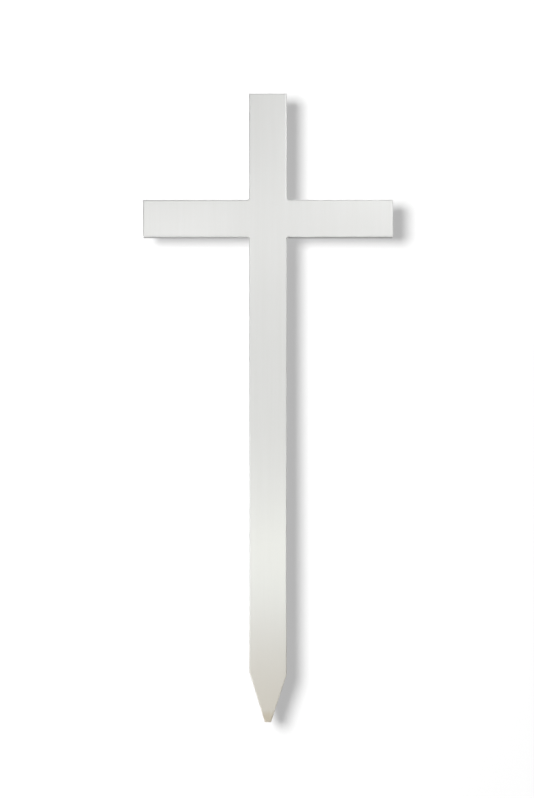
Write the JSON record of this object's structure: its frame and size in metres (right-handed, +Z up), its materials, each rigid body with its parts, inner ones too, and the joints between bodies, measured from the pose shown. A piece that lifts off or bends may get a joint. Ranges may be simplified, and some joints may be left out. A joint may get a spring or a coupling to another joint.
{
  "type": "wooden grave cross",
  "caption": "Flat white-painted wooden cross cut in one piece, with square-ended arms and a pointed foot that is set in the ground to mark a grave.",
  "frame": {"origin": "middle of the flat tip of the pointed foot", "axes": "+Z up along the upright, +X along the crosspiece to the viewer's right, +Y into the board; the front faces -Y"},
  "size_m": [0.398, 0.02, 1],
  "materials": {
    "white_paint": "satin white paint over a smooth board, warmer and greyer towards the pointed foot"
  },
  "bodies": {
    "root": {"cross": "white_paint"}
  },
  "joints": []
}
